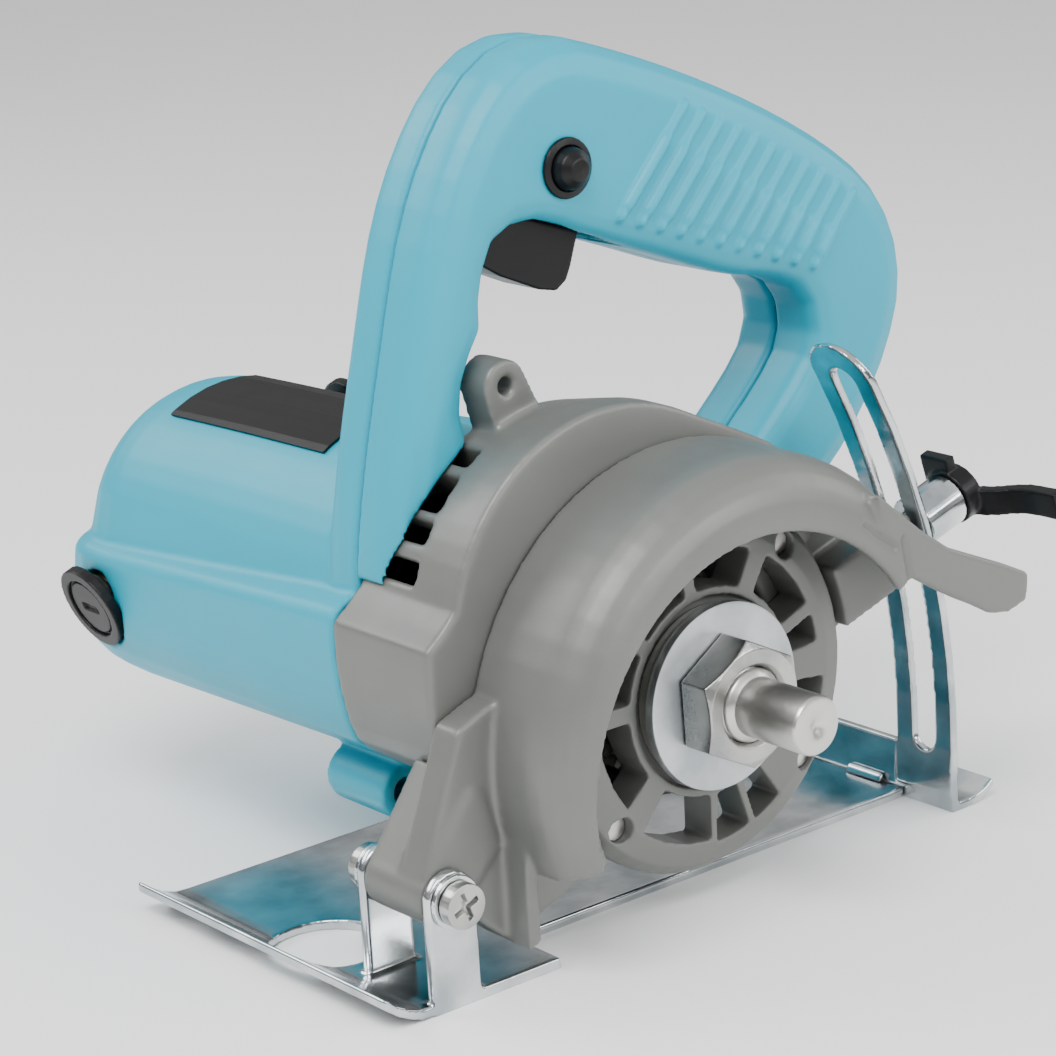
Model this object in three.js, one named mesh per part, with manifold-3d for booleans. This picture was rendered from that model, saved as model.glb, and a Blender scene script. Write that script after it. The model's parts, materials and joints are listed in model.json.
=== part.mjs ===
// Hand-held 110 mm tile and stone cutter (marble cutter), shown without its blade.
// Millimetres, +Z up. X runs along the cut, from the hinge at the front (-X) to the depth strap at the
// rear (+X). The blade side faces -Y and the motor side faces +Y. The origin is on the underside of the
// sole plate, straight below the spindle.
import * as THREE from 'three';
import { mergeVertices } from 'three/addons/utils/BufferGeometryUtils.js';
import Module from 'manifold-3d';

const wasm = await Module();
wasm.setup();

// ---------------------------------------------------------------- driving dimensions
const GAP = 0.3; // clearance kept between pieces that touch

// base
const SHEET = 2.5; // sole plate thickness
const PLATE_FRONT = -99.5;
const PLATE_NEAR = -48; // Y of the edge on the blade side
const PLATE_FAR = 49;
const NOTCH_EDGE = -31; // Y of the edge beside the blade
const NOTCH_FRONT = -50; // X where the blade notch starts
const NOTCH_RADIUS = 5;
const LIP_RISE = 6; // height of the turned-up front lip
const LIP_LENGTH = 13.5;
const HINGE_X = -79.5;
const HINGE_Z = 25.3;
const EAR_WIDTH = 13.6;
const EAR_FAR = -24.5; // Y of the far ear's inner face
const SIGHT_HOLE_RADIUS = 13.5;
const BRACKET_SHEET = 2.2;
const WALL_X = 77.3; // front face of the bracket's low wall
const WALL_HEIGHT = 14.8;
const REAR_LIP = 14.7; // how far the foot runs back from the wall
const REAR_LIP_RISE = 3;
const STRAP_WIDTH = 19;
const STRAP_MID = -38; // Y of the strap's middle
const STRAP_RADIUS = 189.4; // bend of the strap's front face
const STRAP_PIVOT_SET = 33; // how far the strap's bend centre lies beyond the hinge
const STRAP_TOP = 123.5;
const SLOT_WIDTH = 7.6;
const SLOT_LOW = 14.5;
const SLOT_HIGH = 117;

// tool, in its own frame: origin on the spindle axis, level when the blade is at full depth
const REST_TILT = 20.5; // degrees that the body is raised about the hinge
const HINGE_U = -83.75;
const HINGE_W = 3;
const CLAMP_ANGLE = -3.2; // degrees, direction of the clamp stud seen from the hinge
const FLOOR_W = -17.4; // flat underside of the housings, in front of the gears' belly
const BARREL_RADIUS = 7; // hinge barrel
const PIVOT_RADIUS = 2.8; // pivot screw shank

const GUARD_U = -3;
const GUARD_W = -2;
const GUARD_RADIUS = 61.5;
const GUARD_WALL = 2.8;
const GUARD_NEAR = -69;
const GUARD_BACK = -36.2;
const GUARD_ROUND = 13;
const RIM_U = -6;
const RIM_W = -7;
const RIM_RADIUS = 50.8;

const BOX_FACE = -46; // front face of the bearing box
const BOX_BACK = -36.2;
const BOX_RADIUS = 44.5;
const HOUSING_FACE = -35.9;
const HOUSING_FLANGE = 60;
const HOUSING_REAR = -1;
const WALL = 3.3; // cast wall

const MODULE = 1.5;
const GEAR_TEETH = 31;
const PINION_TEETH = 13;
const TOOTH_TIP = 0.7; // tooth height above the pitch circle, in modules
const GEAR_CLEAR = 0.7; // room between the teeth and the housing
const BELLY_WALL = 2.2; // thin wall under the spindle gear
const MOTOR_ANGLE = 126.2; // degrees, direction of the motor axis seen from the spindle
const GEAR_FRONT = -30;
const GEAR_REAR = -21;
const MOTOR_RADIUS = 38.2;
const MOTOR_END = 122;
const MOTOR_WALL = 3;
const BULGE_HALF = 45.9; // half width across the brush bulges
const BRUSH_Y = 103.5;
const BRUSH_RISE = 4.4; // height of the brushes above the motor axis
const CAP_RADIUS = 11.1;

const SHAFT_RADIUS = 7;
const SHAFT_TIP = -80.5;
const THREAD_RADIUS = 8.7;
const NUT_FLATS = 27;
const NUT_FRONT = -60.5;
const WASHER_FRONT = -50.7;
const WASHER_RADIUS = 22.3;
const WASHER_THICK = 3;

const HANDLE_HALF = 15; // half thickness of the grip
const HANDLE_ROUND = 8;
const HANDLE_WALL = 4;

// ---------------------------------------------------------------- colours
const finish = (color, roughness, metalness) => new THREE.MeshStandardMaterial({ color, roughness, metalness });
const turquoise = finish(0x3fc7dc, 0.42, 0);
const castGrey = finish(0x94958f, 0.45, 0.3);
const zinc = finish(0xc9cdd0, 0.28, 0.9);
const steel = finish(0xb4b2ac, 0.3, 1);
const blackPlastic = finish(0x111214, 0.4, 0);
const brass = finish(0xb8913f, 0.35, 1);
const carbon = finish(0x2a2a2c, 0.7, 0);
const copper = finish(0xb4683a, 0.4, 1);
const labelBlack = finish(0x0c0c0d, 0.5, 0);

// ---------------------------------------------------------------- solids
const rad = THREE.MathUtils.degToRad;

function solid(geometry) {
  const bare = geometry.clone();
  bare.deleteAttribute('normal');
  bare.deleteAttribute('uv');
  const merged = mergeVertices(bare, 1e-4);
  return new wasm.Manifold(new wasm.Mesh({
    numProp: 3,
    vertProperties: Float32Array.from(merged.attributes.position.array),
    triVerts: Uint32Array.from(merged.index.array),
  }));
}

function toGeometry(manifold) {
  const mesh = manifold.getMesh();
  const geometry = new THREE.BufferGeometry();
  geometry.setAttribute('position', new THREE.BufferAttribute(mesh.vertProperties, 3));
  geometry.setIndex(new THREE.BufferAttribute(mesh.triVerts, 1));
  geometry.computeVertexNormals();
  return geometry;
}

const cut = (body, ...tools) => tools.reduce((left, tool) => left.subtract(tool), body);
const join = (body, ...more) => more.reduce((all, piece) => all.add(piece), body);

function box(x0, x1, y0, y1, z0, z1) {
  const geometry = new THREE.BoxGeometry(x1 - x0, y1 - y0, z1 - z0);
  return solid(geometry.translate((x0 + x1) / 2, (y0 + y1) / 2, (z0 + z1) / 2));
}

// A cylinder along Y.
function rod(radius, y0, y1, x = 0, z = 0, sides = 24) {
  const geometry = new THREE.CylinderGeometry(radius, radius, y1 - y0, sides);
  return solid(geometry.translate(x, (y0 + y1) / 2, z));
}

// A cylinder along X.
function rodX(radius, x0, x1, y = 0, z = 0, sides = 24) {
  const geometry = new THREE.CylinderGeometry(radius, radius, x1 - x0, sides);
  return solid(geometry.rotateZ(-Math.PI / 2).translate((x0 + x1) / 2, y, z));
}

// A closed [radius, y] profile turned about the Y axis.
function turned(profile, sides = 32, x = 0, z = 0) {
  const points = [...profile, profile[0]].map(([r, y]) => new THREE.Vector2(r, y));
  let area = 0;
  for (let i = 0; i + 1 < points.length; i += 1) {
    area += points[i].x * points[i + 1].y - points[i + 1].x * points[i].y;
  }
  if (area < 0) points.reverse();
  return solid(new THREE.LatheGeometry(points, sides).translate(x, 0, z));
}

function outline(points) {
  return new THREE.Shape(points.map(([x, z]) => new THREE.Vector2(x, z)));
}

// An outline in X and Z, extruded from y0 to y1.
function prism(shape, y0, y1, options = {}) {
  const geometry = new THREE.ExtrudeGeometry(shape, {
    depth: y1 - y0, bevelEnabled: false, curveSegments: 8, ...options,
  });
  return solid(geometry.rotateX(Math.PI / 2).translate(0, y1, 0));
}

const plate = (points, y0, y1) => prism(outline(points), y0, y1);

// A smooth open curve through points, sampled evenly.
function smooth(points, count) {
  const curve = new THREE.CatmullRomCurve3(points.map(([x, z]) => new THREE.Vector3(x, 0, z)), false, 'centripetal');
  return curve.getSpacedPoints(count).map((p) => [p.x, p.z]);
}

// The convex outline round some circles [x, z, radius].
function hullOf(circles) {
  const samples = [];
  for (const [x, z, r] of circles) {
    for (let i = 0; i < 48; i += 1) {
      const a = (i / 48) * 2 * Math.PI;
      samples.push([x + r * Math.cos(a), z + r * Math.sin(a)]);
    }
  }
  samples.sort((a, b) => a[0] - b[0] || a[1] - b[1]);
  const half = (list) => {
    const chain = [];
    for (const p of list) {
      while (chain.length > 1) {
        const [a, b] = chain.slice(-2);
        if ((b[0] - a[0]) * (p[1] - a[1]) - (b[1] - a[1]) * (p[0] - a[0]) > 0) break;
        chain.pop();
      }
      chain.push(p);
    }
    return chain.slice(0, -1);
  };
  return [...half(samples), ...half([...samples].reverse())];
}

// A closed outline seen from its middle, as one point for each direction, cut off flat at a floor height.
function cast(closed, middle, count, floor = -Infinity) {
  return Array.from({ length: count }, (_, i) => {
    const a = (i / count) * 2 * Math.PI;
    const [dx, dz] = [Math.cos(a), Math.sin(a)];
    let reach = 0;
    closed.forEach(([x0, z0], k) => {
      const [x1, z1] = closed[(k + 1) % closed.length];
      const [ex, ez] = [x1 - x0, z1 - z0];
      const across = dx * ez - dz * ex;
      if (Math.abs(across) < 1e-9) return;
      const [px, pz] = [x0 - middle[0], z0 - middle[1]];
      const along = (px * ez - pz * ex) / across;
      const share = (px * dz - pz * dx) / across;
      if (along > 0 && share >= -1e-9 && share <= 1 + 1e-9) reach = Math.max(reach, along);
    });
    if (dz < 0) reach = Math.min(reach, (floor - middle[1]) / dz);
    return [middle[0] + reach * dx, middle[1] + reach * dz];
  });
}

const ringOf = (circles, middle, count, floor) => cast(hullOf(circles), middle, count, floor);

// A skin over rings of equal length, each at its own Y, closed at both ends.
function loft(rings) {
  const count = rings[0].points.length;
  const positions = [];
  const faces = [];
  for (const { y, points } of rings) {
    for (const [x, z] of points) positions.push(x, y, z);
  }
  for (let k = 0; k + 1 < rings.length; k += 1) {
    for (let i = 0; i < count; i += 1) {
      const a = k * count + i;
      const b = k * count + ((i + 1) % count);
      faces.push(a, a + count, b, b, a + count, b + count);
    }
  }
  [0, rings.length - 1].forEach((k) => {
    const flat = rings[k].points.map(([x, z]) => new THREE.Vector2(x, z));
    for (const [a, b, c] of THREE.ShapeUtils.triangulateShape(flat, [])) {
      const start = k * count;
      if (k === 0) faces.push(start + a, start + b, start + c);
      else faces.push(start + a, start + c, start + b);
    }
  });
  const geometry = new THREE.BufferGeometry();
  geometry.setAttribute('position', new THREE.Float32BufferAttribute(positions, 3));
  geometry.setIndex(faces);
  return solid(geometry);
}

const group = new THREE.Group();
const tool = new THREE.Group();
group.add(tool);

function add(parent, name, material, manifold) {
  const mesh = new THREE.Mesh(toGeometry(manifold), material);
  mesh.name = name;
  parent.add(mesh);
  return mesh;
}

// ---------------------------------------------------------------- base
const earInner = PLATE_NEAR + SHEET; // inner face of the near ear
const earTopRadius = EAR_WIDTH / 2;

function soleProfile() {
  const lip = [];
  for (let i = 0; i <= 4; i += 1) {
    const t = i / 4;
    lip.push([PLATE_FRONT + LIP_LENGTH * (1 - t), LIP_RISE * t * t]);
  }
  const under = [[WALL_X - GAP, 0], ...lip];
  const over = [...lip].reverse().map(([x, z]) => [x + 0.25 * z / LIP_RISE, z + SHEET]);
  return [...under, ...over, [WALL_X - GAP, SHEET]];
}

function ear(y0, y1) {
  const shape = outline([
    [HINGE_X - earTopRadius, SHEET / 2],
    [HINGE_X + earTopRadius, SHEET / 2],
    [HINGE_X + earTopRadius, HINGE_Z],
    [HINGE_X - earTopRadius, HINGE_Z],
  ]);
  const body = join(prism(shape, y0, y1), rod(earTopRadius, y0, y1, HINGE_X, HINGE_Z, 32));
  return cut(body, rod(PIVOT_RADIUS + GAP, y0 - 1, y1 + 1, HINGE_X, HINGE_Z));
}

const bladeNotch = join(
  box(NOTCH_FRONT + NOTCH_RADIUS, WALL_X + 1, PLATE_NEAR - 1, NOTCH_EDGE, -1, SHEET + 1),
  box(NOTCH_FRONT, WALL_X, PLATE_NEAR - 1, NOTCH_EDGE - NOTCH_RADIUS, -1, SHEET + 1),
  solid(new THREE.CylinderGeometry(NOTCH_RADIUS, NOTCH_RADIUS, SHEET + 2, 24).rotateX(Math.PI / 2)
    .translate(NOTCH_FRONT + NOTCH_RADIUS, NOTCH_EDGE - NOTCH_RADIUS, SHEET / 2)),
);
const sightHole = solid(new THREE.CylinderGeometry(SIGHT_HOLE_RADIUS, SIGHT_HOLE_RADIUS, 30, 32)
  .rotateX(Math.PI / 2).translate(HINGE_X - 2.5, EAR_FAR + SHEET + 5.5 + SIGHT_HOLE_RADIUS, 0));
add(group, 'sole_plate', zinc, join(
  cut(plate(soleProfile(), PLATE_NEAR, PLATE_FAR), bladeNotch, sightHole),
  ear(PLATE_NEAR, earInner),
  ear(EAR_FAR, EAR_FAR + SHEET),
));

// The strap bends about a point just beyond the hinge, so that the clamp stays close to it all the way.
const strapLean = rad(9);
const strapX = HINGE_X - STRAP_PIVOT_SET * Math.cos(strapLean);
const strapZ = HINGE_Z - STRAP_PIVOT_SET * Math.sin(strapLean);

function strapBand(low, high, extra = 0) {
  const inside = [];
  const outside = [];
  for (let i = 0; i <= 10; i += 1) {
    const z = low + ((high - low) * i) / 10;
    const a = Math.asin((z - strapZ) / STRAP_RADIUS);
    const front = STRAP_RADIUS - extra;
    const back = STRAP_RADIUS + BRACKET_SHEET + extra;
    inside.push([strapX + front * Math.cos(a), strapZ + front * Math.sin(a)]);
    outside.push([strapX + back * Math.cos(a), strapZ + back * Math.sin(a)]);
  }
  return [...inside, ...outside.reverse()];
}

function roundEnded(width, low, high) {
  const shape = new THREE.Shape();
  const r = width / 2;
  shape.moveTo(STRAP_MID - r, low);
  shape.lineTo(STRAP_MID + r, low);
  shape.lineTo(STRAP_MID + r, high - r);
  shape.absarc(STRAP_MID, high - r, r, 0, Math.PI, false);
  const geometry = new THREE.ExtrudeGeometry(shape, { depth: 120, bevelEnabled: false, curveSegments: 10 });
  return solid(geometry.rotateX(Math.PI / 2).rotateZ(Math.PI / 2).translate(0, 0, 0));
}

function bracket() {
  const bend = [];
  for (let i = 0; i <= 4; i += 1) {
    const t = i / 4;
    bend.push([WALL_X + BRACKET_SHEET + (REAR_LIP - BRACKET_SHEET) * t, REAR_LIP_RISE * Math.max(0, t - 0.35) ** 2 * 2.37]);
  }
  const under = [[WALL_X, 0], ...bend];
  const over = [...bend].reverse().map(([x, z]) => [x, z + BRACKET_SHEET]);
  const foot = plate([...under, ...over, [WALL_X + BRACKET_SHEET, WALL_HEIGHT], [WALL_X, WALL_HEIGHT]],
    STRAP_MID - STRAP_WIDTH / 2, PLATE_FAR);
  const half = STRAP_WIDTH / 2;
  const band = plate(strapBand(SHEET + 1.5, STRAP_TOP + 2), STRAP_MID - half, STRAP_MID + half);
  const tip = solid(new THREE.CylinderGeometry(half, half, 80, 32).rotateZ(Math.PI / 2)
    .translate(60, STRAP_MID, STRAP_TOP - half));
  const square = box(20, 100, STRAP_MID - half - 1, STRAP_MID + half + 1, STRAP_TOP - half, STRAP_TOP + 20);
  const slotEnds = [SLOT_LOW, SLOT_HIGH].map((z, i) => {
    const inset = i === 0 ? SLOT_WIDTH / 2 : -SLOT_WIDTH / 2;
    return solid(new THREE.CylinderGeometry(SLOT_WIDTH / 2, SLOT_WIDTH / 2, 80, 20).rotateZ(Math.PI / 2)
      .translate(60, STRAP_MID, z + inset));
  });
  const slot = box(20, 100, STRAP_MID - SLOT_WIDTH / 2, STRAP_MID + SLOT_WIDTH / 2,
    SLOT_LOW + SLOT_WIDTH / 2, SLOT_HIGH - SLOT_WIDTH / 2);
  const rounded = join(cut(band, square), band.intersect(tip));
  return cut(join(foot, rounded), slot, ...slotEnds);
}
add(group, 'depth_bracket', zinc, bracket());

// Short fillet welds where the sole plate meets the bracket's wall.
[-18, 12, 40].forEach((y, i) => {
  const x = WALL_X - GAP;
  const bead = [[x - 2, SHEET + GAP], [x, SHEET + GAP], [x, SHEET + 2.4], [x - 1, SHEET + 1.7]];
  add(group, `weld_bead_${i + 1}`, zinc, plate(bead, y - 6, y + 6));
});

// ---------------------------------------------------------------- tool placement
const tilt = rad(REST_TILT);
tool.rotation.y = -tilt;
tool.position.set(
  HINGE_X - HINGE_U * Math.cos(tilt) + HINGE_W * Math.sin(tilt),
  0,
  HINGE_Z - HINGE_U * Math.sin(tilt) - HINGE_W * Math.cos(tilt),
);
const CENTRES = (MODULE * (GEAR_TEETH + PINION_TEETH)) / 2;
const motorU = CENTRES * Math.cos(rad(MOTOR_ANGLE));
const motorW = CENTRES * Math.sin(rad(MOTOR_ANGLE));
const gearTip = MODULE * (GEAR_TEETH / 2 + TOOTH_TIP);
const pinionTip = MODULE * (PINION_TEETH / 2 + TOOTH_TIP);
const bellyRadius = gearTip + GEAR_CLEAR + BELLY_WALL;

// Along the clamp stud: a frame with its origin at the hinge and X pointing at the strap.
const clampFrame = new THREE.Matrix4().makeTranslation(HINGE_U, 0, HINGE_W)
  .multiply(new THREE.Matrix4().makeRotationY(-rad(CLAMP_ANGLE)));
const onStud = (body) => body.transform([...clampFrame.elements]);
const studReach = Math.hypot(WALL_X - HINGE_X, 0) + 0.2; // hinge to the strap's front face
const strapFront = studReach;
const strapBack = studReach + BRACKET_SHEET;

// ---------------------------------------------------------------- outer form of the gear housing
const HUB = [0, 0];
const MID = [motorU * 0.6, motorW * 0.6];
const motorCircle = (r) => [motorU, motorW, r];
const bulges = (half, r) => [
  [motorU - half + r, motorW + 11, r], [motorU - half + r, motorW - 12, r],
];

// Cross-section of the motor housing: a round barrel with a brush bulge and a ledge on each side.
const BULGE_SIDE = [
  [29.7, 24.4], [37.4, 24.2], [39.6, 22.6], [42.6, 15.4], [44.8, 7], [BULGE_HALF, -1], [45.6, -8],
  [43.4, -14.5], [38.5, -21.5], [31, -28],
];
const barrelArc = (from, to, steps) => Array.from({ length: steps + 1 }, (_, i) => {
  const a = rad(from + ((to - from) * i) / steps);
  return [MOTOR_RADIUS * Math.cos(a), MOTOR_RADIUS * Math.sin(a)];
});
const MOTOR_SECTION = [
  ...barrelArc(44, 136, 12), ...BULGE_SIDE.map(([x, z]) => [-x, z]),
  ...barrelArc(232, 308, 9), ...[...BULGE_SIDE].reverse(),
];

// The section at one Y: towards the rear the ledges run downhill, the top drops and the lower corners fill out.
function motorRing(less, y = 0) {
  const back = Math.min(Math.max(y / BRUSH_Y, 0), 1);
  const lift = 3 * (1 - back * back);
  return MOTOR_SECTION.map(([x0, z0]) => {
    let [x, z] = [x0, z0];
    if (Math.abs(x) > 29 && z > 0) {
      z -= 8 * back * Math.min(1, z / 15);
      if (z0 > 24.3) x = Math.sign(x) * Math.sqrt(MOTOR_RADIUS ** 2 - (z - lift * (z / MOTOR_RADIUS) ** 2) ** 2);
    } else if (z > 0) {
      z += lift * (z / MOTOR_RADIUS) ** 2;
    }
    const low = z < -10 && Math.abs(x) > 26 ? 2.4 * (1 - back) : 0;
    const r = Math.hypot(x, z);
    const share = (r - low - less) / r;
    return [motorU + x * share, motorW + z * share];
  });
}

// The farthest of several closed outlines in each direction from the middle.
function around(outlines, count, floor) {
  const casts = outlines.map((closed) => cast(closed, MID, count, floor));
  return casts[0].map((_, i) => casts.map((points) => points[i])
    .sort((p, q) => Math.hypot(q[0] - MID[0], q[1] - MID[1]) - Math.hypot(p[0] - MID[0], p[1] - MID[1]))[0]);
}

function housingSkin(extra) {
  const crown = (r) => [motorU + r - 37.8, motorW, r];
  const rings = [
    [HOUSING_FACE, HOUSING_FLANGE, 48],
    [-33.5, HOUSING_FLANGE - 0.6, 48],
    [-28, HOUSING_FLANGE - 3.4, 48],
    [-20, HOUSING_FLANGE - 9, 47],
    [-12, HOUSING_FLANGE - 17, 46],
    [-6, HOUSING_FLANGE - 26, 44],
    [-3, 30, 41],
    [HOUSING_REAR, 20, 38.4],
  ].map(([y, hub, top]) => ({
    y,
    points: around([
      hullOf([[...HUB, hub + extra], crown(top)].map(([x, z, r], i) => [x, z, i ? r + extra : r])),
      motorRing(-0.4 - extra),
    ], 72, FLOOR_W - extra),
  }));
  if (extra > 0) {
    rings.unshift({ y: HOUSING_FACE - extra, points: rings[0].points });
    rings.push({ y: HOUSING_REAR + extra, points: rings[rings.length - 1].points });
  }
  return loft(rings);
}

// ---------------------------------------------------------------- blade guard
function sector(from, to, y0, y1) {
  const reach = 140;
  const points = [[GUARD_U, GUARD_W]];
  const steps = 12;
  for (let i = 0; i <= steps; i += 1) {
    const a = rad(from + ((to - from) * i) / steps);
    points.push([GUARD_U + reach * Math.cos(a), GUARD_W + reach * Math.sin(a)]);
  }
  return plate(points, y0, y1);
}

function guardRing() {
  const profile = [];
  const round = (radius, centreR, centreY, list) => {
    for (let i = 0; i <= 6; i += 1) {
      const a = (i / 6) * (Math.PI / 2);
      list.push([centreR + radius * Math.cos(a), centreY - radius * Math.sin(a)]);
    }
  };
  const outer = [[GUARD_RADIUS, GUARD_BACK]];
  round(GUARD_ROUND, GUARD_RADIUS - GUARD_ROUND, GUARD_NEAR + GUARD_ROUND, outer);
  outer.push([40, GUARD_NEAR]);
  const inner = [[GUARD_RADIUS - GUARD_WALL, GUARD_BACK - GUARD_WALL]];
  round(GUARD_ROUND - GUARD_WALL, GUARD_RADIUS - GUARD_ROUND, GUARD_NEAR + GUARD_ROUND, inner);
  inner.push([40, GUARD_NEAR + GUARD_WALL]);
  profile.push(...outer, ...inner.reverse(), [40, GUARD_BACK - GUARD_WALL], [40, GUARD_BACK]);
  return turned(profile, 56, GUARD_U, GUARD_W);
}

function guardTail() {
  const top = smooth([[46, 30], [55, 14], [62, 4], [72, -5.5], [82, -16]], 6);
  const skin = [...top, [79, -22], [77, -20], ...[...top].reverse().map(([u, w]) => [u - 3, w - 3])];
  const under = smooth([[79, -22], [70, -20.5], [63, -13], [56, -5], [49, 4], [43, 12]], 8);
  return join(plate(skin, GUARD_NEAR + 2, -50.5), plate([...top, ...under], GUARD_NEAR, GUARD_NEAR + 3));
}

function hingeArm() {
  const web = plate([
    [-76, -12.5], [-72.5, FLOOR_W - 1.2], [-36, FLOOR_W - 1.2], [-36, 0], [-46, 30], [-54, 34.5],
    [-64.6, 34.3], [HINGE_U - 3.4, HINGE_W + 6],
  ], -44.5, GUARD_BACK);
  const slab = plate([
    [HINGE_U - 3.4, HINGE_W + 6], [-66, 23], [-60.5, 29], [-50, 30], [-50, 10], [-66, 0], [HINGE_U + 2, HINGE_W - 6],
  ], -37, EAR_FAR - GAP);
  const flank = plate([
    [HINGE_U - 3.4, HINGE_W + 6], [-67.2, 20.6], [-65, 19], [-66, 4], [HINGE_U + 2, HINGE_W - 6],
  ], earInner + GAP, -36);
  const hinge = rod(BARREL_RADIUS, earInner + GAP, EAR_FAR - GAP, HINGE_U, HINGE_W, 32);
  const rib = plate([[-73, FLOOR_W - 1.2], [-69, FLOOR_W - 1.2], [-60, 8], [-63, 8]], -52, -44);
  return join(web, slab, flank, hinge, rib);
}

const boxHole = rod(BOX_RADIUS + 0.4, -60, GUARD_BACK + 1, 0, 0, 56);
const housingClear = box(-62, 70, HOUSING_FACE - GAP, 0, -60, 90);

function guard() {
  const rim = rod(RIM_RADIUS, GUARD_NEAR - 1, GUARD_NEAR + GUARD_WALL + 0.2, RIM_U, RIM_W, 64);
  const ring = cut(guardRing(), rim).intersect(join(
    sector(14, 181, -60, GUARD_BACK + 1),
    sector(8, 181, GUARD_NEAR - 1, -50),
  ));
  const arm = cut(hingeArm(), housingClear, housingSkin(GAP));
  return cut(
    join(ring, guardTail(), arm),
    boxHole,
    rod(BARREL_RADIUS * 0.42, earInner, EAR_FAR, HINGE_U, HINGE_W),
    rod(56, -60, -50.5, 0, 0, 48),
  );
}
const GUARD_SCREW_CIRCLE = BOX_RADIUS + 5;
const guardScrews = [62, 106, 144].map((a) => [
  GUARD_SCREW_CIRCLE * Math.cos(rad(a)), GUARD_SCREW_CIRCLE * Math.sin(rad(a)),
]);
const screwHoles = guardScrews.map(([u, w]) => rod(2.4, -40, -28, u, w, 12));
add(tool, 'blade_guard', castGrey, cut(guard(), ...screwHoles));

// ---------------------------------------------------------------- bearing box
const boxScrewAngles = [29, 121, 202, 300];
const BOX_SCREW_CIRCLE = 38.5;
const windows = [
  [161, 198, 25, 34], [211, 247, 25, 36], [250, 266, 25, 37], [269, 283, 25, 37], [318, 331, 25, 36],
  [346, 358, 25, 34], [4, 36, 25, 34], [46, 78, 25, 34], [84, 118, 25, 34], [125, 153, 25, 34],
];

function window([from, to, inner, outer]) {
  const points = [];
  for (let i = 0; i <= 3; i += 1) points.push([outer, from + ((to - from) * i) / 3]);
  for (let i = 3; i >= 0; i -= 1) points.push([inner, from + 1 + ((to - from - 2) * i) / 3]);
  return plate(points.map(([r, a]) => [r * Math.cos(rad(a)), r * Math.sin(rad(a))]), BOX_FACE - 1, BOX_BACK + 1);
}

const FRONT_BEARING = { outer: 17.5, inner: 7.8, y0: -41.7, y1: -31.3 };
const boxBody = turned([
  [SHAFT_RADIUS + 1.4, -43.5], [22.8, -43.5], [22.8, BOX_FACE], [37, BOX_FACE], [42, -44.6], [BOX_RADIUS, -41],
  [BOX_RADIUS, BOX_BACK], [21.2, BOX_BACK], [21.2, FRONT_BEARING.y1], [FRONT_BEARING.outer + GAP, FRONT_BEARING.y1],
  [FRONT_BEARING.outer + GAP, FRONT_BEARING.y0 - GAP], [SHAFT_RADIUS + 1.4, FRONT_BEARING.y0 - GAP],
], 56);
const boxScrewSpots = boxScrewAngles.map((a) => [BOX_SCREW_CIRCLE * Math.cos(rad(a)), BOX_SCREW_CIRCLE * Math.sin(rad(a))]);
const boxScrewHoles = boxScrewSpots.map(([u, w]) => join(
  rod(1.9, -50, -28, u, w, 12),
  rod(3.2, -50, BOX_FACE + 5.5, u, w, 12),
));
add(tool, 'bearing_box', castGrey, cut(boxBody, ...windows.map(window), ...boxScrewHoles));
boxScrewSpots.forEach(([u, w], i) => {
  const head = rod(2.9, BOX_FACE + 3, BOX_FACE + 5.2, u, w, 12);
  add(tool, `bearing_box_screw_${i + 1}`, steel, join(head, rod(1.6, BOX_FACE + 5, HOUSING_FACE + 3, u, w, 12)));
});

// ---------------------------------------------------------------- gear housing
const LUG = [-4.5, 81];

function housing() {
  const gearRoom = join(
    loft([HOUSING_FACE - 1, -18.5].map((y) => ({
      y, points: ringOf([[...HUB, 30], motorCircle(pinionTip + GEAR_CLEAR)], MID, 48, FLOOR_W + WALL),
    }))),
    rod(gearTip + GEAR_CLEAR, HOUSING_FACE - 1, -18.5, 0, 0, 48),
  );
  const belly = rod(bellyRadius, HOUSING_FACE, -16, 0, 0, 48);
  const fanRoom = rod(34.8, -14, HOUSING_REAR + 1, motorU, motorW, 48);
  const boss = cut(rod(15.6, -18, -8, motorU, motorW, 32), rod(13.3, -16.3, 0, motorU, motorW, 32));
  const vents = [91, 104, 117, 130].map((a, i) => {
    const wide = i === 1 ? 4.6 : 2.6;
    const slot = box(20, 60, -22, -4, -wide, wide);
    const turn = new THREE.Matrix4().makeTranslation(motorU, 0, motorW)
      .multiply(new THREE.Matrix4().makeRotationY(-rad(a)));
    return slot.transform([...turn.elements]).intersect(box(-90, 60, -20, -3.5, 40, 90));
  });
  const lug = join(
    rod(6, -18, -8, ...LUG, 28),
    plate([[LUG[0] - 6, LUG[1]], [LUG[0] - 7, 68], [LUG[0] - 10, 60], [LUG[0] + 10, 60], [LUG[0] + 7, 68],
      [LUG[0] + 6, LUG[1]]], -18, -8),
  );
  const clampBoss = onStud(box(126, strapFront - 1.2, -45, -30.5, -8, 8));
  const flangeGap = cut(clampBoss, rod(BOX_RADIUS + 0.6, -60, HOUSING_FACE, 0, 0, 48));
  const outside = join(housingSkin(0), belly, flangeGap, lug);
  const screws = guardScrews.map(([u, w]) => rod(2.4, -40, -28, u, w, 12));
  return cut(
    outside,
    gearRoom,
    cut(fanRoom, boss),
    ...vents,
    rod(pinionTip + GEAR_CLEAR, -20, -10, motorU, motorW),
    rod(13.3, -16.3, -2, motorU, motorW, 32),
    rod(8.3, -20, -12, 0, 0),
    rod(2.2, -30, 0, ...LUG, 14),
    onStud(rodX(3.8, 132, 180, STRAP_MID, 0, 20)),
    ...boxScrewSpots.map(([u, w]) => rod(1.9, -50, -28, u, w, 12)),
    ...screws,
  );
}
add(tool, 'gear_housing', castGrey, housing());

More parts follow.
